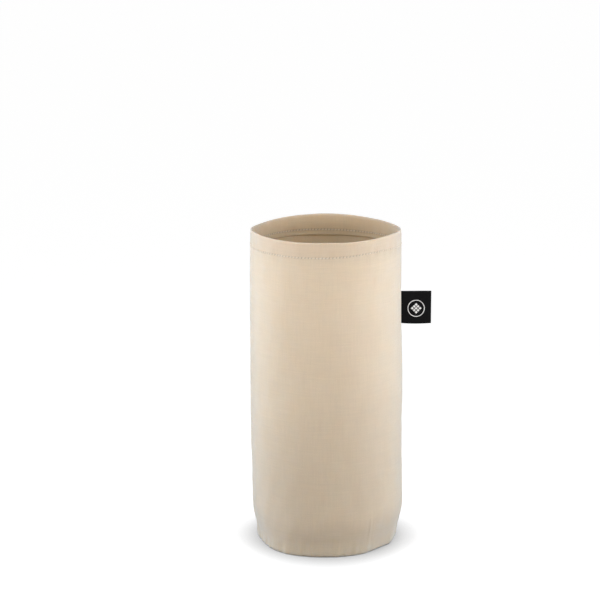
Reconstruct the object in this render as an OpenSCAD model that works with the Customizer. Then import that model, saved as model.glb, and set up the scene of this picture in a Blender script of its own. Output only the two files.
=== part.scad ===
// Tall round fabric grow bag, sewn from a rolled wall panel and a round base panel.
// Millimetres, +Z up. The origin is the middle of the base, on the ground.
// The side seam and its flag label face +X.

/* [Bag] */
// Outside diameter of the wall
bag_d = 150; // [120:5:200]
// Height from the ground to the rim
bag_h = 320; // [220:10:420]
// Thickness of one layer of canvas
cloth_t = 1.1; // [0.8:0.1:1.3]

/* [Foot] */
// How far the wall draws in towards the base seam
foot_in = 4.5; // [4:0.5:7]
// Height over which the wall draws in
foot_h = 16; // [14:1:24]

/* [Hem] */
// Depth of the hem that is turned to the inside
hem_depth = 23; // [20:1:30]
// Distance of the hem's stitch line below the rim
hem_stitch_drop = 16; // [12:1:17]
// Gap that the loose hem edge stands off the wall
hem_stand_off = 0.9; // [0.4:0.1:1.5]

/* [Seams] */
// Width of the cloth's edge that is turned in at the side seam and the base seam
seam_w = 10; // [8:1:12]
// Distance of the seam stitches from the raw edge
edge_to_stitch = 4.5; // [3:0.5:5.5]
// Thickness of the binding tape
tape_t = 0.5; // [0.3:0.1:0.6]
// How far the binding tape reaches over the raw edges
tape_reach = 6.5; // [5:0.5:7]

/* [Thread] */
// Thickness of the sewing thread
thread_d = 0.5; // [0.4:0.1:0.7]
// Length of one stitch, from needle hole to needle hole
stitch_pitch = 3.4; // [2.8:0.2:4.2]
// Share of the stitch length that shows as thread
stitch_share = 0.72; // [0.5:0.02:0.9]

/* [Label] */
// How far the label stands out of the side seam
label_w = 29; // [20:1:34]
// Height of the label, which is the width of its ribbon
label_h = 33; // [20:1:40]
// Distance of the label's top edge below the rim
label_drop = 64; // [50:1:90]
// Thickness of one layer of the ribbon
ribbon_t = 0.35; // [0.25:0.05:0.45]

/* [Hidden] */

$fn = 128;
thread_fn = 16;
ribbon_fn = 24;
bag_r = bag_d / 2;
foot_r = bag_r - foot_in;
arc_steps = 8;

// Hem: held flat to just below its stitches, and loose from there down
hem_z = bag_h - hem_depth;
hem_stitch_z = bag_h - hem_stitch_drop;
hem_grip = 1.5;
hem_free_z = hem_stitch_z - hem_grip;
hem_stitches = round(2 * PI * bag_r / stitch_pitch);

// Side seam: both raw edges of the wall stand inwards as one fin
fin_gap = 1;
fin_x = bag_r - seam_w;
fin_top = hem_z - fin_gap;
fin_bottom = seam_w + tape_t + fin_gap;
fin_half = cloth_t;
side_stitch_x = fin_x + edge_to_stitch;
groove_w = 2.2;
groove_depth = 0.6;

// Base seam: both raw edges stand up as one ring
tape_in_r = foot_r - cloth_t - tape_t;
tape_out_r = foot_r + cloth_t + tape_t;
base_stitch_z = seam_w - edge_to_stitch;
base_stitches = round(2 * PI * foot_r / stitch_pitch);

// Label: a ribbon loop whose two layers touch at the root and part towards the fold
label_z = bag_h - label_drop - label_h;
slot_clearance = 0.02;
fold_gap = 0.2;
flap_half = ribbon_t + fold_gap / 2;
root_gap = 0.3;
root_len = 2;
hinge_x = bag_r + root_gap + flap_half;
tail_past_stitch = 3;
tail_in_x = side_stitch_x - tail_past_stitch;

canvas = [0.85, 0.77, 0.67];
tape = [0.80, 0.72, 0.62];
thread = [0.90, 0.84, 0.75];
ribbon = [0.06, 0.06, 0.06];

// A quarter of an ellipse from the ground up to where the wall is upright.
function foot_curve(width, height, from, to) = [
    for (i = [0 : arc_steps])
        let (a = from + (to - from) * i / arc_steps)
            [foot_r + width * cos(a), foot_h - height * sin(a)]
];

// The rim is one layer folded over the other, so its edge is half round.
function rim_curve() = [
    for (i = [0 : arc_steps])
        let (a = 180 * i / arc_steps)
            [bag_r - cloth_t + cloth_t * cos(a), bag_h - cloth_t + cloth_t * sin(a)]
];

// Cross-section of the wall: up the outside, over the rim, down the loose hem,
// down the inside, and up again in the base seam's allowance.
module wall_section() {
    inner_w = foot_in - cloth_t;
    inner_h = foot_h - cloth_t;
    meet = acos(cloth_t / inner_w);
    polygon(concat(
        foot_curve(foot_in, foot_h, 90, 0),
        rim_curve(),
        [
            [bag_r - 2 * cloth_t, hem_free_z],
            [bag_r - 2 * cloth_t - hem_stand_off, hem_z],
            [bag_r - cloth_t - hem_stand_off, hem_z],
            [bag_r - cloth_t, hem_free_z],
        ],
        foot_curve(inner_w, inner_h, 0, meet),
        [
            [foot_r + cloth_t, seam_w],
            [foot_r, seam_w],
        ]
    ));
}

// The two side allowances, standing inwards on the +X side.
module side_fin() {
    translate([fin_x, -fin_half, fin_bottom])
        cube([bag_r - cloth_t / 2 - fin_x, 2 * fin_half, fin_top - fin_bottom]);
}

// The crease where the two side edges of the panel meet outside.
module side_crease() {
    translate([0, 0, foot_h])
        linear_extrude(bag_h)
            polygon([
                [bag_r - groove_depth, 0],
                [bag_r + groove_depth, groove_w],
                [bag_r + groove_depth, -groove_w],
            ]);
}

// The gap between the two side allowances that holds the label's tail.
module label_slot() {
    half = ribbon_t + slot_clearance;
    translate([tail_in_x - slot_clearance, -half, label_z - slot_clearance])
        cube([bag_r + cloth_t - tail_in_x, 2 * half, label_h + 2 * slot_clearance]);
}

// The wall: a rectangle of canvas rolled into a tube, with its hem turned in.
module wall_panel() {
    color(canvas)
        difference() {
            union() {
                rotate_extrude() wall_section();
                side_fin();
            }
            side_crease();
            label_slot();
        }
}

// The base: a disc of canvas with its edge turned up inside the wall.
module base_panel() {
    color(canvas)
        rotate_extrude()
            polygon([
                [0, 0],
                [foot_r, 0],
                [foot_r, seam_w],
                [foot_r - cloth_t, seam_w],
                [foot_r - cloth_t, cloth_t],
                [0, cloth_t],
            ]);
}

// Tape folded over the raw edges of the side seam.
module side_seam_binding() {
    outer = fin_half + tape_t;
    color(tape)
        translate([0, 0, fin_bottom])
            linear_extrude(fin_top - fin_bottom)
                polygon([
                    [fin_x - tape_t, -outer],
                    [fin_x + tape_reach, -outer],
                    [fin_x + tape_reach, -fin_half],
                    [fin_x, -fin_half],
                    [fin_x, fin_half],
                    [fin_x + tape_reach, fin_half],
                    [fin_x + tape_reach, outer],
                    [fin_x - tape_t, outer],
                ]);
}

// Tape folded over the raw edges of the base seam.
module base_seam_binding() {
    tape_z = seam_w - tape_reach;
    color(tape)
        rotate_extrude()
            polygon([
                [tape_in_r, tape_z],
                [foot_r - cloth_t, tape_z],
                [foot_r - cloth_t, seam_w],
                [foot_r + cloth_t, seam_w],
                [foot_r + cloth_t, tape_z],
                [tape_out_r, tape_z],
                [tape_out_r, seam_w + tape_t],
                [tape_in_r, seam_w + tape_t],
            ]);
}

// One visible length of thread, centred on the origin and lying along Z.
module stitch(pitch) {
    cylinder(h = pitch * stitch_share, d = thread_d, center = true, $fn = thread_fn);
}

// A level ring of stitches round the bag, half sunk into the cloth at radius r.
// The threads on the two faces of a seam share its needle holes, so their counts agree.
module stitch_ring(r, z, count) {
    color(thread)
        for (i = [0 : count - 1])
            rotate([0, 0, (i + 0.5) * 360 / count])
                translate([r, 0, z])
                    rotate([90, 0, 0])
                        stitch(2 * PI * r / count);
}

// An upright row of stitches on one face of the side seam's tape.
module stitch_row(y) {
    count = floor((fin_top - fin_bottom) / stitch_pitch);
    color(thread)
        for (i = [0 : count - 1])
            translate([side_stitch_x, y, fin_bottom + stitch_pitch * (i + 0.5)])
                stitch(stitch_pitch);
}

// The sewn-in end of the label: both layers of ribbon, flat between the allowances.
module label_tail() {
    color(ribbon)
        translate([tail_in_x, -ribbon_t, label_z])
            cube([bag_r - groove_depth - tail_in_x, 2 * ribbon_t, label_h]);
}

// The free part of the label: a ribbon loop, folded at its outer end.
module label_flap() {
    fold_x = bag_r + label_w - flap_half;
    split_x = hinge_x + root_len;
    color(ribbon)
        translate([0, 0, label_z])
            linear_extrude(label_h)
                difference() {
                    union() {
                        translate([hinge_x, 0])
                            circle(r = flap_half, $fn = ribbon_fn);
                        translate([hinge_x, -flap_half])
                            square([fold_x - hinge_x, 2 * flap_half]);
                        translate([fold_x, 0])
                            circle(r = flap_half, $fn = ribbon_fn);
                    }
                    translate([split_x, -fold_gap / 2])
                        square([fold_x - split_x, fold_gap]);
                }
}

wall_panel();
base_panel();
side_seam_binding();
base_seam_binding();
stitch_ring(bag_r, hem_stitch_z, hem_stitches);  // hem_needle_thread
stitch_ring(bag_r - 2 * cloth_t, hem_stitch_z, hem_stitches);  // hem_bobbin_thread
stitch_row(fin_half + tape_t);  // side_seam_needle_thread
stitch_row(-fin_half - tape_t);  // side_seam_bobbin_thread
stitch_ring(tape_in_r, base_stitch_z, base_stitches);  // base_seam_needle_thread
stitch_ring(tape_out_r, base_stitch_z, base_stitches);  // base_seam_bobbin_thread
label_tail();
label_flap();
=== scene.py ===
"""Looks for a tall round fabric grow bag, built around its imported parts.

Laid out as an add-on and run as a script. Metres, +Z up. The front faces -Y, and the
side seam with its flag label faces +X.
"""

import math

import bmesh
import bpy
import numpy as np
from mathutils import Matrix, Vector


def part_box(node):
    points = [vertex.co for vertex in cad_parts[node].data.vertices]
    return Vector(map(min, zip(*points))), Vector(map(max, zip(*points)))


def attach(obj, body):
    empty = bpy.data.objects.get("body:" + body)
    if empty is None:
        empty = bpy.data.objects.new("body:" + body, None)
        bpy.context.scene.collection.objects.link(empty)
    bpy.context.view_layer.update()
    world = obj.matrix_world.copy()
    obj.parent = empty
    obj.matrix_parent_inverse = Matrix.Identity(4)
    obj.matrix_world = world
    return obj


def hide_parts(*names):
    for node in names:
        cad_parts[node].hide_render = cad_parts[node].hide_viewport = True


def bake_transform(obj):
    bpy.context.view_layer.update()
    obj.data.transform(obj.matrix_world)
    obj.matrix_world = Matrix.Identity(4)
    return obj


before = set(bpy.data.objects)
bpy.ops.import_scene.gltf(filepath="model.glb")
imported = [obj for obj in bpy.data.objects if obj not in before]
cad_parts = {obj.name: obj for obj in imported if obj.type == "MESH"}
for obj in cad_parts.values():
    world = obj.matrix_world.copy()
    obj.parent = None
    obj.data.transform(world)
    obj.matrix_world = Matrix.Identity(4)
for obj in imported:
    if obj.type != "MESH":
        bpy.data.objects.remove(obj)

bl_info = {
    "name": "Fabric Grow Bag",
    "version": (1, 0, 0),
    "blender": (4, 5, 0),
    "location": "View3D > Sidebar > Grow Bag",
    "description": "Sewn canvas grow bag with a turned hem, bound seams and a flag label",
    "category": "Object",
}

MM = 0.001
TAU = 2 * math.pi

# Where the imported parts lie. Every piece below is built to these.
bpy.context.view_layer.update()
WALL_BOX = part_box("wall_panel")
BASE_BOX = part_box("base_panel")
HEM_NEEDLE_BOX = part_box("hem_needle_thread")
SIDE_TAPE_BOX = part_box("side_seam_binding")
BASE_TAPE_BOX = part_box("base_seam_binding")
SIDE_THREAD_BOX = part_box("side_seam_needle_thread")
BASE_THREAD_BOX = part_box("base_seam_needle_thread")
TAIL_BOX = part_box("label_tail")
FLAP_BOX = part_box("label_flap")

BAG_R = WALL_BOX[1].y
BAG_H = WALL_BOX[1].z
FOOT_R = BASE_BOX[1].y
SEAM_TOP = BASE_BOX[1].z
FOOT_H = 16 * MM
HEM_STITCH_Z = (HEM_NEEDLE_BOX[0].z + HEM_NEEDLE_BOX[1].z) / 2
SIDE_STITCH_X = (SIDE_THREAD_BOX[0].x + SIDE_THREAD_BOX[1].x) / 2
BASE_STITCH_Z = (BASE_THREAD_BOX[0].z + BASE_THREAD_BOX[1].z) / 2
LABEL_ROOT = TAIL_BOX[0].x
LABEL_TIP = FLAP_BOX[1].x
LABEL_LOW, LABEL_HIGH = FLAP_BOX[0].z, FLAP_BOX[1].z


# ---------------------------------------------------------------- properties


def length_field(name, text, usual, least, most):
    """A property that holds a length. The three lengths are given in millimetres."""
    return bpy.props.FloatProperty(
        name=name, description=text, default=usual * MM, min=least * MM, max=most * MM, unit="LENGTH")


def color_field(name, text, usual):
    """A property that holds a colour."""
    return bpy.props.FloatVectorProperty(
        name=name, description=text, default=usual, min=0, max=1, subtype="COLOR")


def number_field(name, text, usual, least, most):
    """A property that holds a number."""
    return bpy.props.FloatProperty(name=name, description=text, default=usual, min=least, max=most)


def count_field(name, text, usual):
    """A property that holds a count of stitches."""
    return bpy.props.IntProperty(name=name, description=text, default=usual, min=60, max=300)


class GrowBagCloth(bpy.types.PropertyGroup):
    """Sizes of the sewn cloth."""

    canvas_t: length_field("Canvas", "Thickness of one layer of canvas", 1.1, 0.5, 2)
    hem_depth: length_field("Hem depth", "Depth of the hem that is turned to the inside", 21.6, 18, 35)
    hem_stand_off: length_field("Hem stand-off", "Usual gap behind the loose edge of the hem", 0.9, 0.2, 4)
    fold_depth: length_field("Folds", "Depth of the soft upright folds in the wall", 0.45, 0, 3)
    tape_t: length_field("Tape", "Thickness of the binding tape", 0.5, 0.2, 1)
    yarn_pitch: length_field("Yarn pitch", "Distance between neighbouring canvas yarns", 0.78, 0.3, 2)
    canvas_color: color_field("Canvas colour", "Colour of the undyed canvas", (0.740, 0.600, 0.450))
    tape_color: color_field("Tape colour", "Colour of the binding tape", (0.66, 0.53, 0.40))


class GrowBagThread(bpy.types.PropertyGroup):
    """Sizes of the sewing thread and its stitches."""

    hem_count: count_field("Hem stitches", "Needle holes around the hem", 139)
    base_count: count_field("Base stitches", "Needle holes around the base seam", 130)
    pitch: length_field("Stitch length", "Distance between the side seam's needle holes", 3.4, 2, 6)
    diameter: length_field("Thread", "Thickness of the sewing thread", 0.5, 0.2, 1)
    color: color_field("Thread colour", "Colour of the sewing thread", (0.86, 0.75, 0.62))


class GrowBagLabel(bpy.types.PropertyGroup):
    """Sizes of the folded flag label."""

    ribbon_t: length_field("Ribbon", "Thickness of one layer of the ribbon", 0.35, 0.1, 1)
    puff: length_field("Puff", "Gap between the two layers near the fold", 0.9, 0, 3)
    ring_r: length_field("Ring radius", "Radius of the woven ring on the label", 8.2, 3, 12)
    ribbon_color: color_field("Ribbon colour", "Colour of the label's ribbon", (0.0035, 0.0035, 0.0038))
    mark_color: color_field("Mark colour", "Colour of the woven mark", (0.86, 0.86, 0.85))


class GrowBagStudio(bpy.types.PropertyGroup):
    """The floor, lamps and camera."""

    camera_place: bpy.props.FloatVectorProperty(
        name="Camera", description="Where the camera stands",
        default=(-0.0253, -2.289, 0.755), subtype="TRANSLATION", unit="LENGTH")
    camera_tilt: bpy.props.FloatProperty(
        name="Tilt", description="How far the camera looks down",
        default=math.radians(12.54), subtype="ANGLE", unit="ROTATION")
    lens: number_field("Lens", "Focal length of the camera in millimetres", 140.6, 20, 300)
    lamp_power: number_field("Lamp power", "Factor on the power of every lamp", 1, 0, 10)
    ambient: number_field("Room light", "Strength of the light from all round", 0.20, 0, 2)
    floor_color: color_field("Floor colour", "Colour of the floor as the light meets it", (0.21, 0.21, 0.21))
    floor_lift: number_field("Floor lift", "How much the floor brightens to the eye alone", 0.95, 0, 2)


def settings():
    """The scene's own copy of the cloth, thread and label property groups."""
    scene = bpy.context.scene
    return scene.grow_bag_cloth, scene.grow_bag_thread, scene.grow_bag_label


# ---------------------------------------------------------------- how the cloth hangs


def smooth(low, high, x):
    """0 below low, 1 above high, and an even slope between."""
    t = np.clip((np.asarray(x, float) - low) / (high - low), 0, 1)
    return t * t * (3 - 2 * t)


def curve_through(knots, x):
    """A smooth curve through (place, value) knots, level past its ends."""
    place, value = np.array(knots, float).T
    slope = np.gradient(value, place)
    x = np.clip(np.asarray(x, float), place[0], place[-1])
    i = np.clip(np.searchsorted(place, x, side="right") - 1, 0, len(place) - 2)
    gap = place[i + 1] - place[i]
    t = (x - place[i]) / gap
    return (
        (1 + 2 * t) * (1 - t) ** 2 * value[i]
        + t * (1 - t) ** 2 * gap * slope[i]
        + t * t * (3 - 2 * t) * value[i + 1]
        + t * t * (t - 1) * gap * slope[i + 1]
    )


def ring_through(knots, theta):
    """A smooth closed curve through (degrees, value) knots."""
    before = [(a - 360, v) for a, v in knots]
    after = [(a + 360, v) for a, v in knots]
    return curve_through(before + list(knots) + after, np.degrees(theta) % 360)


def ring_waves(theta, seed, low, high):
    """Even random waves round a ring, low to high waves a turn, about 1 deep."""
    rng = np.random.default_rng(seed)
    counts = np.arange(low, high + 1)
    total = 0.0
    for k in counts:
        # The third draw is left unused: every seed here was picked with it in place.
        height, start, _ = rng.normal(), rng.uniform(0, TAU), rng.normal()
        total = total + height * np.cos(k * theta + start)
    return total / math.sqrt(len(counts) / 2)


# How the bag's middle strays from straight, and how full its wall is, by height in mm.
LEAN = (
    (0, 1.3), (7, 1.9), (17, 2.1), (36, 2.8), (49, 2.6), (80, 2.0), (122, 1.35), (168, 1.3), (216, 0.7),
    (257, 0.3), (300, 0.4), (320, 0.4),
)
FULLNESS = (
    (0, 0), (3, -1.1), (7, -1.9), (13, -2.0), (19, -1.0), (28, 0.6), (36, 1.2), (49, 1.1), (80, 1.15),
    (122, 1.4), (168, 1.6), (216, 0.8), (257, 0.6), (300, 0.25), (320, 0.15),
)
# The base seam's own unevenness round the bag, in degrees and mm.
FOOT_FACETS = (
    (0, -0.8), (24, 1.4), (48, -0.6), (70, 0.9), (96, 0.3), (120, -0.8), (146, 1.2), (170, -0.4), (183, -2.2),
    (195, -3.8), (206, -2.6), (213, -1.2), (239, 2.4), (256, 1.5), (270, 1.2), (285, 0.8), (302, -0.2),
    (318, -2.8), (338, -1.2), (350, -2.2),
)
FOOT_LIFT = (
    (0, 0.1), (30, 0.6), (55, 0.05), (90, 0.4), (118, 0.0), (150, 0.5), (190, 0.1), (213, 0.5), (236, 0.0),
    (258, 0.1), (268, 0.25), (280, 0.05), (300, 0.1), (318, 0.7), (340, 0.3),
)
# How far the hem's stitch line rises or drops round the bag, in degrees and mm.
HEM_DRIFT = (
    (0, 0.6), (60, -0.5), (120, 0.3), (180, -0.4), (230, -0.3), (262, -0.2), (280, 0.3), (303, 2.0),
    (322, 2.2), (342, 1.2),
)
# How far the rim rises or drops round the bag, in degrees and mm.
RIM_DRIFT = (
    (0, -1.6), (25, -2.8), (37, -2.4), (46, -2.0), (54, -1.5), (61, -1.0), (74, -0.1), (92, 0.4), (106, 0.0),
    (119, -0.5), (134, -1.3), (143, -1.8), (155, -2.3), (170, -1.6), (180, -1.0), (205, -0.2), (217, -0.9),
    (234, -1.6), (250, -1.7), (270, -1.2), (286, -1.8), (300, -1.5), (314, -0.9), (330, -0.2), (345, -0.8),
)
# Handling marks: start and end as degrees and mm up, then width and depth in mm.
MARKS = (
    (312, 298, 303, 262, 3.0, 0.32),
    (303, 262, 301, 240, 2.4, 0.22),
    (286, 214, 274, 213, 2.0, 0.12),
    (304.5, 10, 304, 40, 1.0, -0.34),
    (242, 20, 247, 7, 1.6, 0.40),
    (258, 22, 259, 5, 1.2, 0.22),
    (281, 18, 279, 4, 1.4, 0.24),
    (318, 30, 327, 24, 1.6, 0.26),
    (327, 47, 325, 42, 1.5, 0.30),
    (250, 46, 262, 44, 2.2, 0.14),
    (200, 150, 214, 120, 4.0, 0.30),
    (60, 90, 76, 60, 3.5, 0.35),
    (130, 230, 118, 196, 4.0, 0.30),
    (96, 24, 97, 6, 1.4, 0.35),
    (150, 26, 148, 5, 1.4, 0.35),
    (35, 22, 37, 6, 1.5, 0.30),
)


def folds(theta, z):
    """Soft upright folds of the wall, about 1 deep, still at the hem and the foot."""
    rng = np.random.default_rng(7)
    total = np.zeros(np.broadcast(theta, z).shape)
    for k in range(3, 12):
        turn = rng.uniform(-9, 9)
        middle, reach = rng.uniform(0.05, 0.26), rng.uniform(0.07, 0.16)
        wave = np.cos(k * theta + rng.uniform(0, TAU) + turn * z)
        total = total + wave * rng.normal() * np.exp(-(((z - middle) / reach) ** 2)) * 4.5 / (k + 2)
    quiet = smooth(0.302, 0.262, z) * 0.85 + 0.15
    return total * quiet * smooth(0.0, 0.03, z)


def unevenness(theta, z):
    """The small unevenness of a hand-handled cloth, about 1 deep."""
    rng = np.random.default_rng(23)
    around = BAG_R * np.asarray(theta)
    total = np.zeros(np.broadcast(theta, z).shape)
    for _ in range(26):
        k = round(rng.uniform(4, 26))
        tall = rng.normal() * TAU / rng.uniform(0.03, 0.08)
        total = total + np.cos(k * around / BAG_R + tall * z + rng.uniform(0, TAU))
    return total / math.sqrt(13)


def marks(theta, z):
    """Creases and dents left by handling, in metres inwards."""
    total = np.zeros(np.broadcast(theta, z).shape)
    for a0, z0, a1, z1, width, depth in MARKS:
        turn = (theta - math.radians(a0) + math.pi) % TAU - math.pi
        px, pz = BAG_R * turn, z - z0 * MM
        dx, dz = BAG_R * math.radians(a1 - a0), (z1 - z0) * MM
        t = (px * dx + pz * dz) / (dx * dx + dz * dz)
        near = np.clip(t, 0, 1)
        gap = np.hypot(px - near * dx, pz - near * dz)
        total = total + depth * MM * np.exp(-((gap / (width * MM)) ** 2)) * (1 - 0.5 * np.abs(2 * near - 1))
    return total


def label_dent(theta, z):
    """Where the label presses the wall flat when it lies against it, in metres inwards."""
    off = BAG_R * ((theta + math.pi) % TAU - math.pi)
    tall = smooth(LABEL_LOW - 16 * MM, LABEL_LOW - 2 * MM, z)
    tall = tall * smooth(LABEL_HIGH + 16 * MM, LABEL_HIGH + 2 * MM, z)
    return 0.4 * MM * tall * np.exp(-((off / (24 * MM)) ** 4))


def place(theta, r, z):
    """Where the sewn bag holds a point that lies at angle theta, radius r and height z when it is true."""
    cloth = bpy.context.scene.grow_bag_cloth
    theta, r, z = np.broadcast_arrays(*(np.asarray(v, float) for v in (theta, r, z)))
    out = curve_through(FULLNESS, z / MM) * MM
    out = out + cloth.fold_depth * folds(theta, z)
    out = out + 0.10 * MM * unevenness(theta, z)
    out = out + ring_through(FOOT_FACETS, theta) * MM * smooth(0.045, 0.0, z)
    out = out + 0.14 * MM * ring_waves(theta, 41, 24, 46) * np.exp(-(((z - HEM_STITCH_Z) / 0.007) ** 2))
    out = out + 0.16 * MM * ring_waves(theta, 43, 26, 60) * smooth(0.020, 0.0, z)
    out = out + 0.25 * MM * ring_waves(theta, 47, 2, 7) * smooth(0.296, 0.318, z)
    out = out - marks(theta, z) - label_dent(theta, z)
    held = r + out * smooth(0.030, 0.060, r)
    rise = ring_through(FOOT_LIFT, theta) * MM * smooth(0.016, 0.0, z) * smooth(0.058, 0.067, r)
    rise = rise + ring_through(HEM_DRIFT, theta) * MM * np.exp(-(((z - HEM_STITCH_Z + 0.003) / 0.009) ** 2))
    rise = rise + (0.55 * np.cos(theta) + 0.16 * ring_waves(theta, 53, 3, 8)) * MM * smooth(0.280, 0.320, z)
    rise = rise + ring_through(RIM_DRIFT, theta) * MM * smooth(0.299, 0.319, z)
    lean = curve_through(LEAN, z / MM) * MM
    return np.stack([held * np.cos(theta) + lean, held * np.sin(theta), np.maximum(z + rise, 0)], -1)


# ---------------------------------------------------------------- mesh helpers


def mesh_object(name, points, faces, uv):
    """A smooth object. uv holds each face corner's place on the flat cloth, in metres."""
    mesh = bpy.data.meshes.new(name)
    mesh.from_pydata(points, [], faces)
    layer = mesh.uv_layers.new(name="ClothMap")
    layer.data.foreach_set("uv", uv.astype(np.float32).ravel())
    mesh.polygons.foreach_set("use_smooth", [True] * len(mesh.polygons))
    mesh.update()
    thing = bpy.data.objects.new(name, mesh)
    bpy.context.scene.collection.objects.link(thing)
    return thing


def grid_mesh(name, points, around, along, wrap=(True, True), caps=False):
    """A mesh over a grid of points (columns, rows, 3). wrap closes it by column and by row.
    around and along give the UV map, in metres, and hold one more value where it wraps."""
    cols, rows = points.shape[:2]
    i, j = np.meshgrid(
        np.arange(cols if wrap[0] else cols - 1),
        np.arange(rows if wrap[1] else rows - 1),
        indexing="ij",
    )
    i, j = i.ravel(), j.ravel()
    ci = np.stack([i, i + 1, i + 1, i], 1)
    cj = np.stack([j, j, j + 1, j + 1], 1)
    faces = ((ci % cols) * rows + cj % rows).tolist()
    if caps:
        faces += [list(range(rows)), [(cols - 1) * rows + r for r in reversed(range(rows))]]
    uv = np.zeros((sum(map(len, faces)), 2))
    around, along = np.asarray(around, float), np.asarray(along, float)
    uv[: 4 * len(i)] = np.stack([around[ci], along[cj]], -1).reshape(-1, 2)
    return mesh_object(name, points.reshape(-1, 3).tolist(), faces, uv)


def disc_mesh(name, points, tops):
    """A closed round mesh from a grid of points (columns, rows, 3) whose first and last rows
    meet the two points in tops."""
    cols, rows = points.shape[:2]
    verts = points.reshape(-1, 3).tolist() + [list(t) for t in tops]
    start, end = cols * rows, cols * rows + 1
    faces = []
    for c in range(cols):
        a, b = c * rows, (c + 1) % cols * rows
        faces.append([start, b, a])
        faces.extend([a + r, b + r, b + r + 1, a + r + 1] for r in range(rows - 1))
        faces.append([end, a + rows - 1, b + rows - 1])
    flat = np.array(verts)[:, :2]
    return mesh_object(name, verts, faces, flat[np.concatenate(faces)])


def lengths(path):
    """Distance along a path of points, starting from 0."""
    return np.concatenate([[0], np.cumsum(np.linalg.norm(np.diff(path, axis=0), axis=1))])


def outline_lengths(a, b):
    """Distance round a closed outline of places (a, b), starting from 0."""
    path = np.stack([a, b], 1)
    return lengths(np.vstack([path, path[:1]]))


def finish_piece(thing, slot, body=None, replaces=()):
    """Gives a finished piece the material of its slot, hides the imported parts it stands for and puts it
    under its body.
    """
    thing.data.materials.clear()
    thing.data.materials.append(material_for(slot))
    if replaces:
        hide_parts(*replaces)
    if body:
        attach(thing, body)
    return thing


# ---------------------------------------------------------------- material helpers


def plug(tree, value, socket):
    """Links a wire to a socket, or sets the socket to a plain value."""
    if isinstance(value, Wire):
        tree.links.new(value.socket, socket)
    else:
        socket.default_value = value


class Node:
    """A new node with its facts set and its inputs filled. Indexing it gives a wire from an output."""

    def __init__(self, tree, kind, inputs=(), **facts):
        self.tree = tree
        self.node = tree.nodes.new(kind if "Node" in kind else "ShaderNode" + kind)
        for key, value in facts.items():
            setattr(self.node, key, value)
        for key, value in dict(inputs).items():
            plug(tree, value, self.node.inputs[key])

    def __getitem__(self, key):
        return Wire(self.tree, self.node.outputs[key])


class Wire:
    """The output of a node. Arithmetic on it adds math nodes."""

    def __init__(self, tree, socket):
        self.tree, self.socket = tree, socket

    def math(self, operation, *others):
        """The output of a math node that this wire and the others go into."""
        return Node(self.tree, "Math", enumerate((self, *others)), operation=operation)[0]

    def __add__(self, other):
        return self.math("ADD", other)

    def __sub__(self, other):
        return self.math("SUBTRACT", other)

    def __mul__(self, other):
        return self.math("MULTIPLY", other)

    def __truediv__(self, other):
        return self.math("DIVIDE", other)

    def ridge(self):
        """A round ridge over each step of 1, from 0 to 1."""
        return (self * math.pi).math("SINE").math("ABSOLUTE")

    def remap(self, from_min, from_max, to_min, to_max):
        """The output of one clamped map range node."""
        inputs = {"Value": self, "From Min": from_min, "From Max": from_max}
        inputs.update({"To Min": to_min, "To Max": to_max})
        return Node(self.tree, "MapRange", inputs)[0]

    def split(self):
        """The three parts of a vector."""
        parts = Node(self.tree, "SeparateXYZ", {0: self})
        return [parts[n] for n in range(3)]


def combine(tree, x=0.0, y=0.0, z=0.0):
    """A vector made of three parts."""
    return Node(tree, "CombineXYZ", {0: x, 1: y, 2: z})[0]


def noise(tree, where, scale, detail, output="Fac", **inputs):
    """Smooth noise at a place."""
    return Node(tree, "TexNoise", {"Vector": where, "Scale": scale, "Detail": detail, **inputs})[output]


def mix_colors(tree, first, second, factor, blend="MIX"):
    """Two colours mixed or blended by a factor."""
    return Node(tree, "Mix", {0: factor, 6: first, 7: second}, data_type="RGBA", blend_type=blend)[2]


def tint(tree, color, factor):
    """A colour made lighter or darker by a factor."""
    grey = Node(tree, "CombineColor", {0: factor, 1: factor, 2: factor})[0]
    return mix_colors(tree, (*color, 1), grey, 1, "MULTIPLY")


def attribute(tree, name, output="Fac"):
    """A value that the mesh carries at its points."""
    return Node(tree, "Attribute", attribute_name=name, attribute_type="GEOMETRY")[output]


def group(kind, name, **inputs):
    """A new node group and its input node. Each input is a number or the kind of its socket."""
    tree = bpy.data.node_groups.new(name, kind)
    for label, value in inputs.items():
        made = value if isinstance(value, str) else "Int" if isinstance(value, int) else "Float"
        socket = tree.interface.new_socket(
            label.replace("_", " "), in_out="INPUT", socket_type="NodeSocket" + made)
        if made != value:
            socket.default_value = value
    return tree, Node(tree, "NodeGroupInput")


def put_out(tree, **values):
    """Ends a shader group with its named outputs."""
    for label in values:
        tree.interface.new_socket(label, in_out="OUTPUT", socket_type="NodeSocketFloat")
    Node(tree, "NodeGroupOutput", values)


def use_group(tree, name, **inputs):
    """Places a shared group in a material, with its own values."""
    named = {label.replace("_", " "): value for label, value in inputs.items()}
    return Node(tree, "Group", named, node_tree=bpy.data.node_groups[name])


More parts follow.
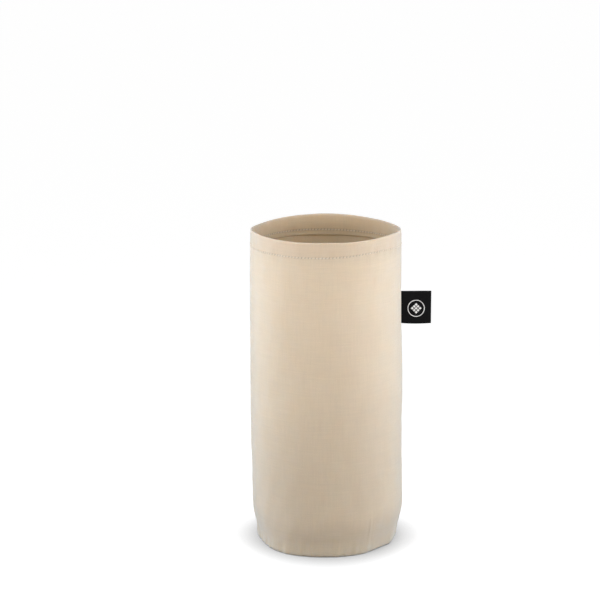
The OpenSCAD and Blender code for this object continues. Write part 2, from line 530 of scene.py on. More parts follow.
def weave_group():
    """Plain weave: yarns that pass over and under each other, with slubs and tones of their own."""
    tree, given = group(
        "ShaderNodeTree", "Plain Weave", Map="Vector", Warp_Pitch=0.001, Weft_Pitch=0.001, Wander=0.3)
    where = given["Map"]
    x, y, _ = where.split()
    yarn = [x / given["Warp Pitch"], y / given["Weft Pitch"]]
    shift = Node(tree, "SeparateColor", {0: noise(tree, where, 180.0, 2.0, "Color")})
    wander = [yarn[n] + (shift[n] - 0.5) * given["Wander"] for n in (0, 1)]
    wave = [(w * math.pi).math("SINE") for w in wander]
    crown = [w.math("ABSOLUTE").math("POWER", 0.55) for w in wave]
    over = (wave[0] * wave[1] * 2.2).math("MINIMUM", 1.0).math("MAXIMUM", -1.0)
    lift = [crown[n] * over.math("MULTIPLY_ADD", (0.36, -0.36)[n], 0.64) for n in (0, 1)]
    tones = []
    for n in (0, 1):
        row, length = wander[n].math("FLOOR") * 7.31, yarn[1 - n] * 0.035
        tones.append(noise(tree, combine(tree, row, length, 3.7 * n), 1.0, 1.0))
    warp_up = lift[0].math("GREATER_THAN", lift[1])
    tone = (tones[0] - tones[1]).math("MULTIPLY_ADD", warp_up, tones[1])
    put_out(tree, Height=lift[0].math("MAXIMUM", lift[1]), Tone=tone, Slub=(tones[0] + tones[1]) * 0.5)


def rib_group():
    """Close ribs across a tape or ribbon, with fine yarns along it."""
    tree, given = group(
        "ShaderNodeTree", "Ribbon Ribs", Map="Vector", Rib_Pitch=0.0006, Yarn_Pitch=0.0003)
    x, y, _ = given["Map"].split()
    rib, yarn = x / given["Rib Pitch"], y / given["Yarn Pitch"]
    strand = (yarn + rib.math("FLOOR") * 0.5).ridge()
    height = rib.ridge().math("POWER", 0.6) * strand.math("MULTIPLY_ADD", 0.35, 0.65)
    where = combine(tree, yarn.math("FLOOR") * 5.17, rib * 0.06)
    put_out(tree, Height=height, Tone=noise(tree, where, 1.0, 1.0))


def mottle_group():
    """Broad, faint unevenness of colour, and the fuzz of loose fibres, both from the piece's own place."""
    tree, given = group("ShaderNodeTree", "Cloth Mottle", Broad_Scale=14.0, Fuzz_Scale=2600.0)
    where = Node(tree, "TexCoord")["Object"]
    broad = noise(tree, where, given["Broad Scale"], 3.0, Roughness=0.55)
    put_out(tree, Broad=broad, Fuzz=noise(tree, where, given["Fuzz Scale"], 3.0, Roughness=0.7))


def new_material(name):
    """An empty node material."""
    material = bpy.data.materials.new(name)
    material.use_nodes = True
    material.node_tree.nodes.clear()
    return material, material.node_tree


def finish_material(material, view_color, sockets):
    """Gives a material its Principled shader, with each named socket linked or set."""
    tree = material.node_tree
    material.diffuse_color = (*view_color, 1)
    Node(tree, "OutputMaterial", {"Surface": Node(tree, "BsdfPrincipled", sockets)[0]})
    return material


def cloth_map(tree):
    """The place on the flat cloth, in metres."""
    return Node(tree, "UVMap", uv_map="ClothMap")[0]


def bump(tree, height, distance, strength):
    """A normal from a height between 0 and 1 that stands for a distance in metres."""
    return Node(tree, "Bump", {"Height": height, "Distance": distance, "Strength": strength})[0]


def canvas_material():
    """Closely woven, undyed canvas, matt with a faint fuzz."""
    cloth = bpy.context.scene.grow_bag_cloth
    material, tree = new_material("sand_canvas")
    pitch = cloth.yarn_pitch
    weave = use_group(
        tree, "Plain Weave", Map=cloth_map(tree), Warp_Pitch=pitch, Weft_Pitch=pitch * 1.08, Wander=0.32)
    mottle = use_group(tree, "Cloth Mottle", Broad_Scale=13.0, Fuzz_Scale=2600.0)
    height = Node(tree, "TexCoord")["Object"].split()[2]
    # Painted shade: the canvas is made darker between the crowns of its yarns. The yarns' own tone comes from
    # the weave's Tone.
    shade = weave["Height"].remap(0.15, 0.95, 0.80, 1.03) * weave["Tone"].remap(0.25, 0.75, 0.95, 1.045)
    shade = shade * mottle["Broad"].remap(0.3, 0.7, 0.975, 1.02)
    # Painted shade: the canvas is darkened in the hem's needle holes.
    shade = shade * attribute(tree, "needle_hole").math("MULTIPLY_ADD", -0.68, 1.0)
    # Painted shade: from a little below the hem's loose edge up to its stitches and above, the canvas is made
    # up to 5% darker. This stands for the double layer letting less light through than the single wall.
    shade = shade * height.remap(HEM_STITCH_Z, BAG_H - 25 * MM, 0.95, 1.0)
    # Painted light and shade by face: the inside is lighter, for light that comes through the cloth. The
    # turned hem is lighter towards the sides and darker at its loose edge.
    shade = shade * (attribute(tree, "face_tone") + 1.0)
    color = tint(tree, cloth.canvas_color, shade)
    # Painted bounce light: the turned-in hem is tinted warmer, for the light thrown back and forth inside the
    # bag.
    color = mix_colors(tree, color, (1.0, 0.96, 0.84, 1), attribute(tree, "turned_hem"), "MULTIPLY")
    color = mix_colors(tree, color, (0.86, 0.74, 0.60, 1), mottle["Fuzz"].remap(0.60, 0.74, 0.0, 0.22))
    surface = mottle["Fuzz"].math("MULTIPLY_ADD", 0.35, weave["Height"])
    surface = weave["Slub"].math("MULTIPLY_ADD", 0.8, surface)
    return finish_material(material, cloth.canvas_color, {
        "Base Color": color,
        "Normal": bump(tree, surface, 0.16 * MM, 0.55),
        "Roughness": weave["Height"].remap(0.2, 1.0, 0.97, 0.86),
        "Specular IOR Level": 0.22,
        "Sheen Weight": 0.55,
        "Sheen Roughness": 0.55,
        "Sheen Tint": (0.9, 0.97, 1, 1),
        "Subsurface Weight": 0.85,
        "Subsurface Radius": (1.0, 0.8, 0.6),
        "Subsurface Scale": 2.6 * MM,
    })


def tape_material():
    """Ribbed cotton binding tape."""
    cloth = bpy.context.scene.grow_bag_cloth
    material, tree = new_material("binding_tape")
    ribs = use_group(tree, "Ribbon Ribs", Map=cloth_map(tree), Rib_Pitch=0.9 * MM, Yarn_Pitch=0.45 * MM)
    mottle = use_group(tree, "Cloth Mottle", Broad_Scale=20.0, Fuzz_Scale=3000.0)
    # Painted shade in the hollows between the ribs. The ribs' tone is their own.
    shade = ribs["Height"].remap(0.1, 0.95, 0.76, 1.04) * ribs["Tone"].remap(0.25, 0.75, 0.94, 1.05)
    shade = shade * mottle["Broad"].remap(0.3, 0.7, 0.97, 1.03)
    surface = mottle["Fuzz"].math("MULTIPLY_ADD", 0.3, ribs["Height"])
    return finish_material(material, cloth.tape_color, {
        "Base Color": tint(tree, cloth.tape_color, shade),
        "Normal": bump(tree, surface, 0.16 * MM, 0.7),
        "Roughness": 0.9,
        "Specular IOR Level": 0.25,
        "Sheen Weight": 0.2,
    })


def thread_material():
    """Twisted polyester sewing thread, with its plies slanting round it."""
    thread = bpy.context.scene.grow_bag_thread
    material, tree = new_material("sewing_thread")
    along, around, _ = attribute(tree, "thread_map", "Vector").split()
    ply = along.math("MULTIPLY_ADD", 2200.0, around * 3.0).ridge()
    mottle = use_group(tree, "Cloth Mottle", Broad_Scale=160.0, Fuzz_Scale=5200.0)
    # Painted shade in the grooves between the plies. The broad mottle is the thread's own.
    shade = ply.remap(0.0, 0.8, 0.66, 1.04) * mottle["Broad"].remap(0.3, 0.7, 0.92, 1.06)
    return finish_material(material, thread.color, {
        "Base Color": tint(tree, thread.color, shade),
        "Normal": bump(tree, ply, 0.08 * MM, 0.8),
        "Roughness": 0.62,
        "Sheen Weight": 0.15,
    })


def ribbon_material():
    """Black satin-woven ribbon."""
    label = bpy.context.scene.grow_bag_label
    material, tree = new_material("label_ribbon")
    ribs = use_group(tree, "Ribbon Ribs", Map=cloth_map(tree), Rib_Pitch=0.26 * MM, Yarn_Pitch=0.16 * MM)
    # Painted shade in the hollows between the ribs, and painted highlight on their crests. The ribs' tone is
    # their own.
    shade = ribs["Height"].remap(0.1, 0.9, 0.55, 1.25) * ribs["Tone"].remap(0.25, 0.75, 0.8, 1.25)
    return finish_material(material, label.ribbon_color, {
        "Base Color": tint(tree, label.ribbon_color, shade),
        "Normal": bump(tree, ribs["Height"], 0.05 * MM, 0.6),
        "Roughness": ribs["Height"].remap(0.0, 1.0, 0.75, 0.55),
        "Specular IOR Level": 0.06,
    })


def mark_material():
    """White float yarns of the woven mark."""
    label = bpy.context.scene.grow_bag_label
    material, tree = new_material("label_mark")
    ribs = use_group(tree, "Ribbon Ribs", Map=cloth_map(tree), Rib_Pitch=0.30 * MM, Yarn_Pitch=0.9 * MM)
    return finish_material(material, label.mark_color, {
        # Painted shade between the ribs of the float yarns.
        "Base Color": tint(tree, label.mark_color, ribs["Height"].remap(0.1, 0.9, 0.74, 1.02)),
        "Normal": bump(tree, ribs["Height"], 0.06 * MM, 0.7),
        "Roughness": 0.55,
    })


MATERIALS = {}


def material_for(slot):
    """The finish of one of the record's slots, built the first time it is asked for."""
    makers = {
        "canvas": canvas_material,
        "binding_tape": tape_material,
        "thread": thread_material,
        "label_ribbon": ribbon_material,
        "label_mark": mark_material,
    }
    if not MATERIALS:
        for build_group in (weave_group, rib_group, mottle_group):
            build_group()
    if slot not in MATERIALS:
        MATERIALS[slot] = makers[slot]()
    return MATERIALS[slot]


# ---------------------------------------------------------------- the wall


def wall_section(cloth):
    """Radius, height and side of the wall's section: up the outside, over the rim, down the
    turned-in hem, up behind it, down the inside and round the base seam's allowance."""
    t = cloth.canvas_t
    draw = BAG_R - FOOT_R
    hem_z = BAG_H - cloth.hem_depth
    hem_free = HEM_STITCH_Z - 1.6 * MM
    rows = []

    def go(side, r, z):
        r, z = np.broadcast_arrays(np.atleast_1d(np.asarray(r, float)), np.atleast_1d(np.asarray(z, float)))
        rows.extend(zip(r, z, [side] * len(r)))

    a = np.linspace(math.pi / 2, 0, 12)[:-1]
    go("outside", FOOT_R + draw * np.cos(a), FOOT_H - FOOT_H * np.sin(a))
    upper = [np.arange(FOOT_H, 0.290, 5.4 * MM), np.arange(0.292, 0.2995, 1.6 * MM)]
    upper += [np.arange(0.3000, 0.3084, 0.7 * MM), np.arange(0.3096, BAG_H - t - 0.4 * MM, 1.8 * MM)]
    go("outside", BAG_R, np.concatenate(upper))
    a = np.linspace(0, math.pi, 9)
    go("rim", BAG_R - t + t * np.cos(a), BAG_H - t + t * np.sin(a))
    lower = [np.arange(BAG_H - t - 1.8 * MM, 0.3090, -2.2 * MM), np.arange(0.3084, hem_free, -0.7 * MM)]
    go("hem", BAG_R - 2 * t, np.concatenate(lower))
    loose = np.linspace(0, 1, 5)
    go("hem", BAG_R - 2 * t, hem_free + (hem_z + 0.3 * MM - hem_free) * loose)
    go("hem", BAG_R - 1.85 * t, hem_z + 0.05 * MM)
    go("hem", BAG_R - 1.5 * t, hem_z)
    go("hem", BAG_R - 1.15 * t, hem_z + 0.05 * MM)
    go("hem", BAG_R - t, hem_z + 0.3 * MM + (hem_free - hem_z - 0.6 * MM) * loose[:-1])
    go("inside", BAG_R - t, np.arange(hem_free - 0.6 * MM, 0.290, -2.5 * MM))
    go("inside", BAG_R - t, np.arange(0.286, FOOT_H + 4 * MM, -9 * MM))
    reach, drop = draw - t, FOOT_H - t
    a = np.linspace(0, math.acos(t / reach), 8)
    go("inside", FOOT_R + reach * np.cos(a), FOOT_H - drop * np.sin(a))
    go("allowance", FOOT_R + t, np.linspace(4.5 * MM, SEAM_TOP - 0.3 * MM, 3))
    go("allowance", FOOT_R + np.array([0.75, 0.25]) * t, SEAM_TOP)
    go("allowance", FOOT_R, np.linspace(SEAM_TOP - 0.3 * MM, 1.5 * MM, 4))
    r, z, side = zip(*rows)
    return np.array(r), np.array(z), np.array(side)


def seam_groove(theta, z):
    """How far the outside turns in along the side seam, in metres."""
    off = BAG_R * ((theta + math.pi) % TAU - math.pi)
    depth = 1.25 * np.exp(-np.abs(off / (0.75 * MM)) ** 1.5) + 0.30 * np.exp(-((off / (3.2 * MM)) ** 2))
    return depth * MM * smooth(0.0, 0.010, z) * smooth(BAG_H + 0.002, BAG_H - 0.006, z)


def needle_dimples(theta, z, count):
    """How the stitches pull the cloth in at each needle hole, from 0 to 1."""
    hole = 0.5 + 0.5 * np.cos(count * theta)
    return (0.22 + 0.78 * hole**2) * np.exp(-(((z - HEM_STITCH_Z) / (0.85 * MM)) ** 2))


def build_wall():
    """The canvas wall with its turned-in hem, as one closed cloth."""
    cloth, thread, _ = settings()
    r, z, side = wall_section(cloth)
    cols = 4 * thread.hem_count
    theta = np.arange(cols) * TAU / cols
    th = theta[:, None]
    rr, zz = (np.broadcast_to(v, (cols, len(r))).copy() for v in (r, z))
    outside, hem, inside, rim = (side == name for name in ("outside", "hem", "inside", "rim"))
    dimple, groove = needle_dimples(th, zz, thread.hem_count), seam_groove(th, zz)
    rr[:, outside] -= (0.55 * MM * dimple + groove)[:, outside]
    rr[:, rim] -= 0.6 * groove[:, rim]
    stitched = hem & (r < BAG_R - 1.9 * cloth.canvas_t)
    rr[:, stitched] += (0.42 * MM * dimple)[:, stitched]
    rr[:, hem] -= 0.35 * groove[:, hem]
    loose = smooth(HEM_STITCH_Z - 1.8 * MM, BAG_H - cloth.hem_depth + 0.5 * MM, zz)
    gap = cloth.hem_stand_off * np.clip(1 + 0.22 * ring_waves(th, 61, 2, 9), 0.15, 2.2)
    rr[:, hem] -= (gap * loose)[:, hem]
    sway = 0.22 * MM * ring_waves(th, 67, 3, 12)
    zz[:, hem] += (sway * loose)[:, hem]
    around = np.append(theta, TAU) * BAG_R
    wall = grid_mesh("bag_wall", place(th, rr, zz), around, outline_lengths(r, z))
    # Where the canvas is darkened as painted shade in the hem's needle holes.
    pierced = (0.5 + 0.5 * np.cos(thread.hem_count * th)) ** 3
    # Painted light and shade on the inner faces. The hem is darker at the front and back, lighter towards the
    # sides, and darker at its loose edge. The rest of the inside is lighter, for light that comes through the
    # cloth.
    hem_painted_light = -0.05 + 0.15 * np.cos(th) ** 2 - 0.07 * loose
    for label, values in (
        ("needle_hole", pierced * np.exp(-(((zz - HEM_STITCH_Z) / (0.6 * MM)) ** 2))),
        # Where the inner hem is tinted warmer as painted bounce light.
        ("turned_hem", np.broadcast_to(hem, zz.shape)),
        ("face_tone", np.where(hem, hem_painted_light, np.where(inside, 0.14, 0.0))),
    ):
        layer = wall.data.attributes.new(label, "FLOAT", "POINT")
        layer.data.foreach_set("value", values.astype(np.float32).ravel())
    return finish_piece(wall, "canvas", "bag", ["wall_panel"])


def fin_spread(z):
    """How far the two side allowances part, in metres: the label's tail lies between them."""
    near = smooth(TAIL_BOX[0].z - 7 * MM, TAIL_BOX[0].z, z) * smooth(TAIL_BOX[1].z + 7 * MM, TAIL_BOX[1].z, z)
    return 0.33 * MM * near


def along_seam(x, y, z):
    """Where the sewn bag holds a point of the side seam, x out from the middle and y across."""
    return place(np.arctan2(y, x), np.hypot(x, y), z)


def seam_wave(x, z):
    """How far the inner edge of the side seam strays in and out, in metres."""
    wave = 0.16 * MM * ring_waves(z / BAG_H * TAU, 71, 2, 14)
    return wave * smooth(BAG_R - 2 * MM, BAG_R - 7 * MM, x)


def upright_strip(name, section, low, high):
    """A closed strip that runs up the side seam. section is (x, y) points round its outline,
    anticlockwise from above. It parts sideways where the label's tail lies."""
    x, y = np.array(section).T
    z = np.linspace(low, high, 96)[:, None]
    part = fin_spread(z) * np.sign(y) * (np.abs(y) > 0.3 * MM)
    points = along_seam(x + seam_wave(x, z), y + part, z)
    return grid_mesh(name, points[::-1], z[::-1, 0], outline_lengths(x, y), (False, True), caps=True)


def build_side_allowance():
    """Both raw edges of the wall, standing inwards as a fin behind the side seam."""
    cloth, _, _ = settings()
    t = cloth.canvas_t
    low = SIDE_TAPE_BOX[0].x + cloth.tape_t
    root = BAG_R - 0.6 * t
    across = np.linspace(root - 1.5 * MM, low + 0.3 * MM, 6)
    section = [(root, -t), (root, -0.4 * t), (root, 0.4 * t), (root, t)]
    section += [(x, t) for x in across]
    section += [(low + 0.05 * MM, 0.8 * t), (low, 0.5 * t), (low + 0.12 * MM, 0)]
    section += [(low, -0.5 * t), (low + 0.05 * MM, -0.8 * t)]
    section += [(x, -t) for x in across[::-1]]
    ends = SIDE_TAPE_BOX[0].z + 0.3 * MM, SIDE_TAPE_BOX[1].z - 0.3 * MM
    return finish_piece(upright_strip("bag_side_allowance", section, *ends), "canvas", "bag")


# ---------------------------------------------------------------- the base


def build_base():
    """The round base panel, with its edge turned up inside the wall."""
    cloth, _, _ = settings()
    t = cloth.canvas_t
    cols = 192
    theta = (np.arange(cols) * TAU / cols)[:, None]
    flat = np.array([4, 10, 18, 27, 36, 44, 51, 57, 61, 64, 66.5, 68.5]) * MM * FOOT_R / (70.5 * MM)
    corner = 0.9 * MM
    rows = [(r, 0.0, 0) for r in flat]
    for a in np.linspace(0, math.pi / 2, 5):
        rows.append((FOOT_R - corner + corner * math.sin(a), corner - corner * math.cos(a), 0))
    rows += [(FOOT_R - 0.02 * MM, z, 0) for z in np.linspace(2.5 * MM, SEAM_TOP - 0.3 * MM, 4)]
    rows += [(FOOT_R - 0.25 * t, SEAM_TOP, 0), (FOOT_R - 0.75 * t, SEAM_TOP, 0)]
    rows += [(FOOT_R - t, z, 0) for z in np.linspace(SEAM_TOP - 0.3 * MM, 3.0 * MM, 5)]
    rows += [(FOOT_R - t - 0.35 * MM, t + 0.75 * MM, 1), (FOOT_R - t - 1.1 * MM, t + 0.2 * MM, 1)]
    rows += [(r, t, 1) for r in flat[::-1] if r < FOOT_R - t - 1.6 * MM]
    r, z, top = np.array(rows).T
    points = place(theta, r, z)
    inner = smooth(FOOT_R - 1 * MM, FOOT_R - 16 * MM, r)[None, :]
    rise = 0.5 * MM * (0.6 + 0.4 * ring_waves(theta, 83, 1, 4)) * inner * smooth(0.0, 0.02, r)
    pucker = 0.22 * MM * ring_waves(theta, 89, 18, 42) * np.exp(-(((r - 63 * MM) / (5 * MM)) ** 2))
    low = (z < 0.2 * MM) | (top > 0.5)
    points[:, low, 2] += np.maximum(rise + pucker, 0)[:, low]
    lean = place(0.0, 0.0, 0.0)
    base = disc_mesh("bag_base", points, [lean + [0, 0, 0.1 * MM], lean + [0, 0, t + 0.1 * MM]])
    return finish_piece(base, "canvas", "bag", ["base_panel"])


# ---------------------------------------------------------------- the bindings


def build_side_binding():
    """Tape folded over the raw edges of the side seam."""
    cloth, _, _ = settings()
    t, tape = cloth.canvas_t, cloth.tape_t
    x0, x1 = SIDE_TAPE_BOX[0].x, SIDE_TAPE_BOX[1].x
    outer, inner = t + tape, t + 0.02 * MM
    bend = np.linspace(math.pi / 2, 3 * math.pi / 2, 9)
    over = np.linspace(x1 - 1.2 * MM, x0 + 1.9 * MM, 4)
    under = np.linspace(x1 - 1.2 * MM, x0 + 1.5 * MM, 4)
    section = [(x1, inner), (x1 + 0.08 * MM, inner + tape / 2), (x1, outer)]
    section += [(x, outer) for x in over]
    section += [(x0 + 1.0 * MM + 1.0 * MM * math.cos(v), outer * math.sin(v)) for v in bend]
    section += [(x, -outer) for x in over[::-1]]
    section += [(x1, -outer), (x1 + 0.08 * MM, -inner - tape / 2), (x1, -inner)]
    section += [(x, -inner) for x in under]
    section += [(x0 + 1.0 * MM + 0.5 * MM * math.cos(v), inner * math.sin(v)) for v in bend[::-1]]
    section += [(x, inner) for x in under[::-1]]
    strip = upright_strip("side_seam_tape", section, SIDE_TAPE_BOX[0].z, SIDE_TAPE_BOX[1].z)
    return finish_piece(strip, "binding_tape", "bag", ["side_seam_binding"])


def build_base_binding():
    """Tape folded over the raw edges of the base seam."""
    cloth, _, _ = settings()
    outer, inner = cloth.canvas_t + cloth.tape_t, cloth.canvas_t + 0.02 * MM
    z0, z1 = BASE_TAPE_BOX[0].z, BASE_TAPE_BOX[1].z
    bend = np.linspace(0, math.pi, 9)
    up = np.linspace(z0 + 0.2 * MM, z1 - 1.2 * MM, 5)
    rows = [(outer, z) for z in up]
    rows += [(outer * math.cos(v), z1 - 1.0 * MM + 1.0 * MM * math.sin(v)) for v in bend]
    rows += [(-outer, z) for z in up[::-1]]
    rows += [(-outer + 0.1 * MM, z0), (-inner - 0.1 * MM, z0)]
    rows += [(-inner, z) for z in up]
    rows += [(-inner * math.cos(v), z1 - 1.0 * MM + 0.5 * MM * math.sin(v)) for v in bend]
    rows += [(inner, z) for z in up[::-1]]
    rows += [(inner + 0.1 * MM, z0), (outer - 0.1 * MM, z0)]
    off, z = np.array(rows).T
    cols = 320
    theta = np.arange(cols) * TAU / cols
    wave = 0.22 * MM * ring_waves(theta[:, None], 97, 8, 40)
    points = place(theta[:, None], FOOT_R + off, z + wave * smooth(z0, z1, z))
    around = np.append(theta, TAU) * FOOT_R
    ring = grid_mesh("base_seam_tape", points, around, outline_lengths(off, z))
    return finish_piece(ring, "binding_tape", "bag", ["base_seam_binding"])


# ---------------------------------------------------------------- the stitches


def stitch_tree():
    """Geometry Nodes: one bent length of thread at every point, laid along its stitch line."""
    tree, given = group(
        "GeometryNodeTree", "Sewn Stitches", Geometry="Geometry", Length=3 * MM, Thickness=0.5 * MM,
        Rise=0.2 * MM, Sink=0.3 * MM, Slant=0.05, Unevenness=0.05, Seed=5, Material="Material")
    tree.interface.new_socket("Geometry", in_out="OUTPUT", socket_type="NodeSocketGeometry")

    def geometry(kind, inputs, **facts):
        return Node(tree, "GeometryNode" + kind, inputs, **facts)[0]

    def store(thing, name, value, kind="FLOAT"):
        inputs = {"Geometry": thing, "Name": name, "Value": value}
        return geometry("StoreNamedAttribute", inputs, data_type=kind, domain="POINT")

    def stored(name, kind="FLOAT"):
        return geometry("InputNamedAttribute", {"Name": name}, data_type=kind)

    sunk = given["Sink"] * -1.0
    line = geometry("CurveQuadraticBezier", {
        "Resolution": 7,
        "Start": combine(tree, given["Length"] * -0.5, 0, sunk),
        "Middle": combine(tree, 0, 0, given["Rise"].math("MULTIPLY_ADD", 2.0, given["Sink"])),
        "End": combine(tree, given["Length"] * 0.5, 0, sunk),
    })
    outline = geometry("CurvePrimitiveCircle", {"Resolution": 7, "Radius": given["Thickness"] * 0.5})
    spline = Node(tree, "GeometryNodeSplineParameter")
    tube = geometry("CurveToMesh", {
        "Curve": store(line, "thread_run", spline["Length"]),
        "Profile Curve": store(outline, "thread_turn", spline["Factor"]),
        "Fill Caps": True,
    })
    both = combine(tree, stored("thread_run"), stored("thread_turn"))
    mapped = store(tube, "thread_map", both, "FLOAT_VECTOR")
    ways = {n: stored(name, "FLOAT_VECTOR") for n, name in enumerate(("run_way", "out_way"))}
    axes = Node(tree, "FunctionNodeAxesToRotation", ways, primary_axis="X", secondary_axis="Z")[0]
    stray = Node(tree, "FunctionNodeRandomValue", {"Seed": given["Seed"]}, data_type="FLOAT")
    low, high = [s for s in stray.node.inputs if s.type == "VALUE" and s.enabled][:2]
    plug(tree, given["Slant"] - given["Unevenness"], low)
    plug(tree, given["Slant"] + given["Unevenness"], high)
    slant = Wire(tree, next(s for s in stray.node.outputs if s.type == "VALUE" and s.enabled))
    yaw = Node(tree, "FunctionNodeEulerToRotation", {0: combine(tree, 0, 0, slant)})[0]
    turned = {"Rotation": axes, "Rotate By": yaw}
    turned = Node(tree, "FunctionNodeRotateRotation", turned, rotation_space="LOCAL")[0]
    placed = {"Points": given["Geometry"], "Instance": mapped, "Rotation": turned}
    spots = geometry("InstanceOnPoints", placed)
    shaded = geometry("SetShadeSmooth", {0: geometry("RealizeInstances", {0: spots})})
    painted = geometry("SetMaterial", {"Geometry": shaded, "Material": given["Material"]})
    Node(tree, "NodeGroupOutput", {0: painted})
    return tree


def sew(name, spots, run_way, out_way, inputs, node):
    """A row of stitches at spots, as one plain mesh that stands for a node."""
    thread = bpy.context.scene.grow_bag_thread
    mesh = bpy.data.meshes.new(name + "_line")
    mesh.from_pydata(np.asarray(spots).tolist(), [], [])
    for label, ways in (("run_way", run_way), ("out_way", out_way)):
        layer = mesh.attributes.new(label, "FLOAT_VECTOR", "POINT")
        layer.data.foreach_set("vector", np.asarray(ways, np.float32).ravel())
    line = bpy.data.objects.new(name + "_line", mesh)
    bpy.context.scene.collection.objects.link(line)
    tree = bpy.data.node_groups.get("Sewn Stitches") or stitch_tree()
    modifier = line.modifiers.new("Stitches", "NODES")
    modifier.node_group = tree
    values = {"Thickness": thread.diameter, "Material": material_for("thread"), **inputs}
    for item in tree.interface.items_tree:
        if item.item_type == "SOCKET" and item.in_out == "INPUT" and item.name in values:
            modifier[item.identifier] = values[item.name]
    shown = line.evaluated_get(bpy.context.evaluated_depsgraph_get())
    baked = bpy.data.meshes.new_from_object(shown)
    line.modifiers.clear()
    bpy.data.objects.remove(line)
    bpy.data.meshes.remove(mesh)
    for label in ("thread_run", "thread_turn"):
        if label in baked.attributes:
            baked.attributes.remove(baked.attributes[label])
    baked.name = name
    row = bpy.data.objects.new(name, baked)
    bpy.context.scene.collection.objects.link(row)
    return finish_piece(row, "thread", "bag", [node])


def unit(ways):
    """Rows of vectors, each made 1 long."""
    return ways / np.linalg.norm(ways, axis=1, keepdims=True)


def ring_ways(theta, r, z, inwards=False):
    """Stitch spots on a ring of the sewn bag, with the way along it and the way out of the cloth."""
    step = 0.01
    run = place(theta + step, r, z) - place(theta - step, r, z)
    up = place(theta, r, z + 0.8 * MM) - place(theta, r, z - 0.8 * MM)
    out = unit(np.cross(run, up))
    return place(theta, r, z), unit(run), -out if inwards else out


def build_stitches():
    """Every visible row of stitches: hem, base seam and side seam, on both faces."""
    cloth, thread, _ = settings()
    t, tape = cloth.canvas_t, cloth.tape_t
    hem = {"Rise": 0.24 * MM, "Sink": 0.30 * MM, "Slant": 0.07, "Unevenness": 0.06, "Seed": 5}
    base = {"Rise": 0.12 * MM, "Sink": 0.25 * MM, "Slant": 0.06, "Unevenness": 0.05, "Seed": 9}
    for name, node, r, z, inwards, count, share, look in (
        ("hem_needle_stitches", "hem_needle_thread",
         BAG_R - 0.08 * MM, HEM_STITCH_Z, False, thread.hem_count, 0.82, hem),
        ("hem_bobbin_stitches", "hem_bobbin_thread",
         BAG_R - 2 * t + 0.08 * MM, HEM_STITCH_Z, True, thread.hem_count, 0.82, hem),
        ("base_needle_stitches", "base_seam_needle_thread",
         FOOT_R - t - tape, BASE_STITCH_Z, True, thread.base_count, 0.93, base),
        ("base_bobbin_stitches", "base_seam_bobbin_thread",
         FOOT_R + t + tape, BASE_STITCH_Z, False, thread.base_count, 0.93, base),
    ):
        theta = (np.arange(count) + 0.5) * TAU / count
        sew(name, *ring_ways(theta, r, z, inwards), {"Length": r * (TAU / count) * share, **look}, node)
    low, high = SIDE_TAPE_BOX[0].z, SIDE_TAPE_BOX[1].z
    z = low + thread.pitch * (np.arange(int((high - low) / thread.pitch)) + 0.5)
    x = SIDE_STITCH_X + seam_wave(SIDE_STITCH_X, z)
    side_look = {**base, "Length": thread.pitch * 0.93, "Seed": 13}
    for name, node, side in (
        ("side_needle_stitches", "side_seam_needle_thread", 1),
        ("side_bobbin_stitches", "side_seam_bobbin_thread", -1),
    ):
        y = side * (t + tape + fin_spread(z))
        run = along_seam(x, y, z + 0.5 * MM) - along_seam(x, y, z - 0.5 * MM)
        out = np.tile([0.0, side, 0.0], (len(z), 1))
        sew(name, along_seam(x, y, z), unit(run), out, side_look, node)


# ---------------------------------------------------------------- the label


def label_bend(x, z):
    """How far the label's flap sways to the back, in metres."""
    run = np.clip((x - BAG_R) / (LABEL_TIP - BAG_R), 0, 1)
    down = (LABEL_HIGH - z) / (LABEL_HIGH - LABEL_LOW)
    return (0.9 * run**2 * (0.4 + 0.6 * down) + 0.25 * np.sin(3.4 * run + 2 * down) * run) * MM


# How far the label hangs below its place in the construction model
LABEL_SAG = 0.8 * MM


def label_shift():
    """How far the label stands out with the seam it is sewn into, in metres."""
    seam = place(0.0, BAG_R, (LABEL_LOW + LABEL_HIGH) / 2)
    return float(seam[0]) - BAG_R + 1.5 * MM


def label_shape(s, level):
    """Where the ribbon's middle lies. s runs from -1 at the front root over the fold at 0 to 1
    at the back root; level is 0 at the bottom and 1 at the top."""
    _, _, label = settings()
    s, level = np.broadcast_arrays(s, level)
    tip = LABEL_TIP - label.ribbon_t / 2
    z = LABEL_LOW + (LABEL_HIGH - LABEL_LOW) * level
    x = LABEL_ROOT + (tip - LABEL_ROOT) * (1 - np.abs(s))
    gap = label.puff / 2 * smooth(BAG_R + 1.5 * MM, tip - 4 * MM, x) + label.ribbon_t * 0.52
    close = np.clip((tip - x) / gap, 0, 1)
    y = np.sign(s) * gap * np.sqrt(1 - (1 - close) ** 2) + label_bend(x, z)
    bow = 0.55 * MM * np.sin(np.pi * np.clip((x - BAG_R) / (tip - BAG_R), 0, 1) ** 0.8)
    return x + label_shift(), y, z - bow * (1 - level) ** 3 - LABEL_SAG


